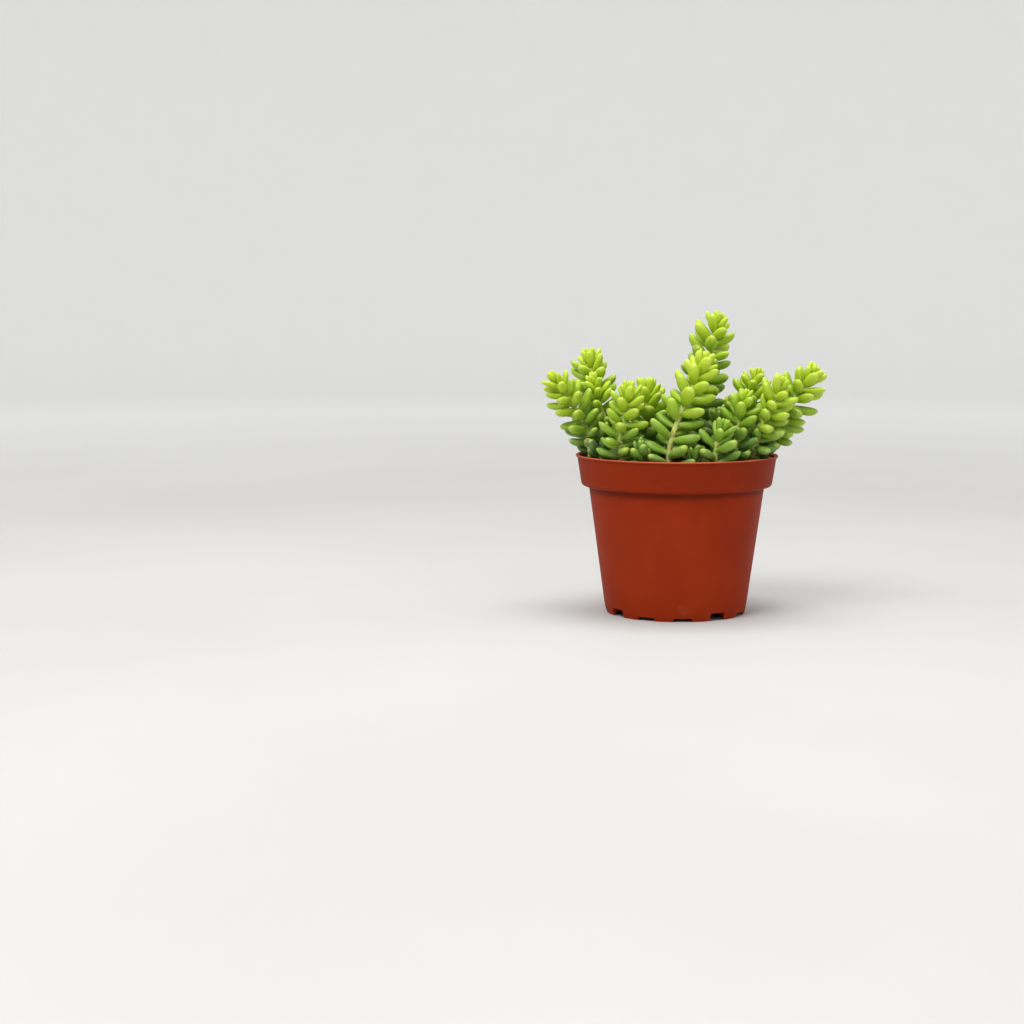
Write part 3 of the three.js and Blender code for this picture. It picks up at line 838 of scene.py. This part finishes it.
def stalk_skin():
    """Fleshy pale green above, browner and corky towards the root, with rusty scars of dropped leaves."""
    finish = Finish(
        "sedum_stalk",
        Subsurface_Weight=0.12,
        Subsurface_Radius=(0.7, 0.8, 0.2),
        Subsurface_Scale=1.5 * MM,
    )
    along = finish.trait("along")
    cork = finish.noise(380, 5, 0.65)
    scars = finish.band(finish.cells(330), 0.36, 0.18)
    colour = finish.mix(finish.band(along, 0.1, 0.5), paint(150, 146, 84), paint(192, 204, 104))
    colour = finish.mix(finish.band(cork, 0.5, 0.72) * 0.55, colour, paint(150, 118, 66))
    colour = finish.mix(scars * 0.6, colour, paint(134, 92, 44))
    relief = finish.bump(cork - 0.6 * scars, 0.6, 0.4 * MM)
    return finish.set(Base_Color=colour, Roughness=0.5 + 0.2 * cork, Normal=relief)


# ---- Stage ----


def make_stage():
    """A pale floor that curves up into a backdrop all round. It is painted paler away from the pot: painted
    light that makes up for the lamps' light falling off towards the far backdrop.
    """
    bend = [(2.2 + 0.9 * math.sin(a), 0.9 - 0.9 * math.cos(a)) for a in np.linspace(0, math.pi / 2, 14)]
    floor = draw_along([(0.02, 0), (1.1, 0), *bend, (3.1, 2.6)], 96, Vector((0, 0, 0)))
    with editing(floor):
        pick(lambda place: place.z < 0.001 and place.length < 0.03)
        bpy.ops.mesh.edge_face_add()
        bpy.ops.mesh.select_all(action="SELECT")
        bpy.ops.mesh.normals_make_consistent(inside=True)
    smooth(floor, 60)
    floor.name = "floor"
    finish = Finish("pale_floor", Roughness=0.7, Specular_IOR_Level=0.15)
    tint = finish.mix(finish.band(finish.noise(3, 4), 0.3, 0.7), paint(190, 189, 187), paint(196, 195, 193))
    distance = finish.node("ShaderNodeVectorMath", {"operation": "LENGTH"}, {0: finish.place}, output=1)
    # Painted light: the floor and backdrop get paler away from the pot, where the lamps light them less.
    tint = finish.mix(finish.band(distance, 0.4, 2.0), tint, paint(252, 252, 251))
    floor.data.materials.append(finish.set(Base_Color=tint))


def soft_light(name, place, aim, size, power):
    light = bpy.data.lights.new(name, "AREA")
    light.shape, light.size, light.energy = "DISK", size, power
    lamp = bpy.data.objects.new(name, light)
    lamp.location = place
    lamp.rotation_euler = (Vector(aim) - Vector(place)).to_track_quat("-Z", "Y").to_euler()
    bpy.context.scene.collection.objects.link(lamp)


def light_stage():
    middle = (AXIS.x, AXIS.y, 0.08)
    soft_light("key", (-0.5, -0.9, 1.25), middle, 0.8, 14)
    soft_light("fill", (1.1, -0.7, 0.7), middle, 1.0, 2)
    soft_light("overhead", (0.05, 0.0, 1.5), middle, 0.9, 14)
    world = bpy.data.worlds.new("studio")
    world.use_nodes = True
    background = world.node_tree.nodes["Background"]
    background.inputs["Color"].default_value = (1, 1, 1, 1)
    background.inputs["Strength"].default_value = 0.58
    bpy.context.scene.world = world
    bpy.context.scene.view_settings.view_transform = "Standard"


def set_camera():
    """Looks from in front and a little above, with the pot to the right of the frame's middle."""
    data = bpy.data.cameras.new("camera")
    data.lens, data.sensor_width = 66.3, 36
    camera = bpy.data.objects.new("camera", data)
    camera.location = AXIS + Vector((0, -0.9373, 0.1545))
    camera.rotation_euler = (math.radians(83.6), 0, math.radians(5))
    bpy.context.scene.collection.objects.link(camera)
    bpy.context.scene.camera = camera


# ---- The potted plant ----

set_camera()
light_stage()
make_stage()

finished(make_pot(), "pot", pot_plastic())
finished(make_soil(), "potting_soil", soil_finish("potting_mix", False))
finished(scatter_crumbs(), "potting_soil", soil_finish("loose_crumbs", True))

stalks = [Stalk(*shoot) for shoot in SHOOTS]
growth = Growth(stalks)
leaf_shapes = [model_leaf(0.2, 1.0), model_leaf(0.36, 0.96), model_leaf(0.52, 0.94)]
leaf_finish, stalk_finish = leaf_skin(), stalk_skin()
chance = np.random.default_rng(7)
for stalk in stalks:
    node = "shoot_" + stalk.name
    finished(make_stalk(stalk), node, stalk_finish)
    leaves = make_leaves(stalk, growth.leaves[stalk.name], leaf_shapes, chance)
    finished(leaves, node, leaf_finish)
for shape in leaf_shapes:
    bpy.data.objects.remove(shape)
